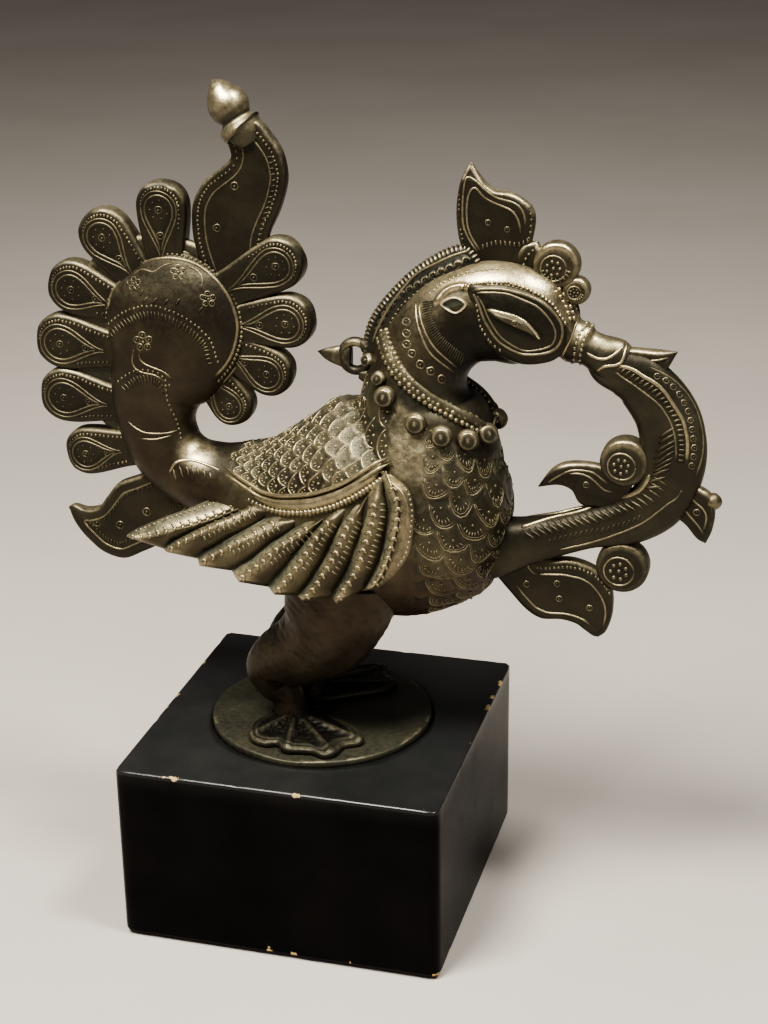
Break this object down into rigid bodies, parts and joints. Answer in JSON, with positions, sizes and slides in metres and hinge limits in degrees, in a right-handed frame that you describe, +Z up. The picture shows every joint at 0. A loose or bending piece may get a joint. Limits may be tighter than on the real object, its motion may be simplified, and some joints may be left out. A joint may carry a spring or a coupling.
{
  "type": "bronze bird figure on a plinth",
  "caption": "Cast bronze bird with a petalled tail fan, spread wings, neck loop and a garland curling from its bill to its breast, on a round plate set in a square black wood plinth.",
  "frame": {"origin": "middle of the felt pad's underside, on the surface the plinth stands on", "axes": "+Z up, +X the way the bird faces, +Y to the bird's left"},
  "size_m": [0.3143, 0.1524, 0.387],
  "materials": {
    "patinated_bronze": "cast bronze, dark brown patina, grey-green in the recesses and brassy where worn",
    "black_wood": "black painted hardwood, satin, edges rubbed and chipped",
    "felt": "dark plum wool felt"
  },
  "bodies": {
    "root": {"bird": "patinated_bronze", "plinth": "black_wood", "felt_pad": "felt"}
  },
  "joints": []
}
